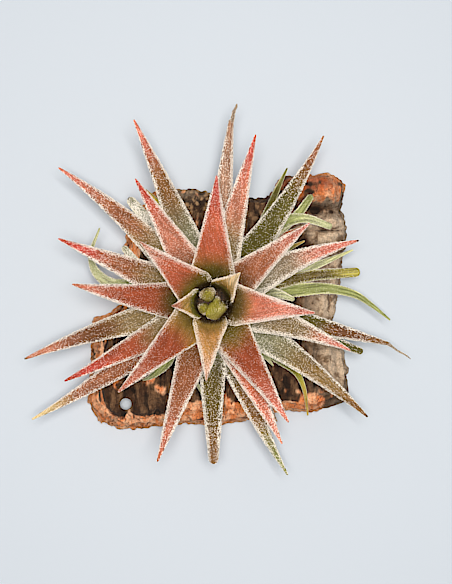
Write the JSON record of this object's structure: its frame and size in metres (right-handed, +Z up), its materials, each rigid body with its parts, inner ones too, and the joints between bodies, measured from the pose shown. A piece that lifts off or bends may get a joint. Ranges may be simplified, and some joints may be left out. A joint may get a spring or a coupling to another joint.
{
  "type": "air plant on cork bark",
  "caption": "Stiff-leaved silvery rosette air plant with red-orange blush and small green offsets, fixed to a square of virgin cork bark with a hanging hole.",
  "frame": {"origin": "on the bark's flat underside, straight below the rosette's stem", "axes": "+Z is up, out of the middle of the rosette; seen from above, +X is towards the bark's straight side with the high corner, and +Y towards the side that the high corner is on"},
  "size_m": [0.0972, 0.0937, 0.061],
  "materials": {
    "bud_leaf": "matte",
    "young_leaf": "matte",
    "blushed_leaf": "matte",
    "silvered_leaf": "matte",
    "aged_leaf": "matte",
    "green_leaf": "matte",
    "offset_leaf": "matte",
    "stem": "matte",
    "glue": "satin",
    "cork_bark": "matte"
  },
  "bodies": {
    "root": {"leaf_01": "bud_leaf", "leaf_02": "bud_leaf", "leaf_03": "bud_leaf", "leaf_04": "bud_leaf", "leaf_05": "young_leaf", "leaf_06": "young_leaf", "leaf_07": "blushed_leaf", "leaf_08": "blushed_leaf", "leaf_09": "blushed_leaf", "leaf_10": "blushed_leaf", "leaf_11": "blushed_leaf", "leaf_12": "blushed_leaf", "leaf_13": "blushed_leaf", "leaf_14": "blushed_leaf", "leaf_15": "silvered_leaf", "leaf_16": "silvered_leaf", "leaf_17": "silvered_leaf", "leaf_18": "silvered_leaf", "leaf_19": "silvered_leaf", "leaf_20": "silvered_leaf", "leaf_21": "silvered_leaf", "leaf_22": "silvered_leaf", "leaf_23": "aged_leaf", "leaf_24": "aged_leaf", "leaf_25": "aged_leaf", "leaf_26": "aged_leaf", "leaf_27": "green_leaf", "leaf_28": "silvered_leaf", "leaf_29": "aged_leaf", "leaf_30": "aged_leaf", "leaf_31": "aged_leaf", "leaf_32": "aged_leaf", "leaf_33": "aged_leaf", "leaf_34": "green_leaf", "offset_right": "offset_leaf", "offset_upper_right": "offset_leaf", "offset_lower_right": "offset_leaf", "offset_left": "offset_leaf", "offset_lower_left": "offset_leaf", "offset_upper_left": "offset_leaf", "stem": "stem", "fixing_glue": "glue", "cork_bark": "cork_bark"}
  },
  "joints": []
}
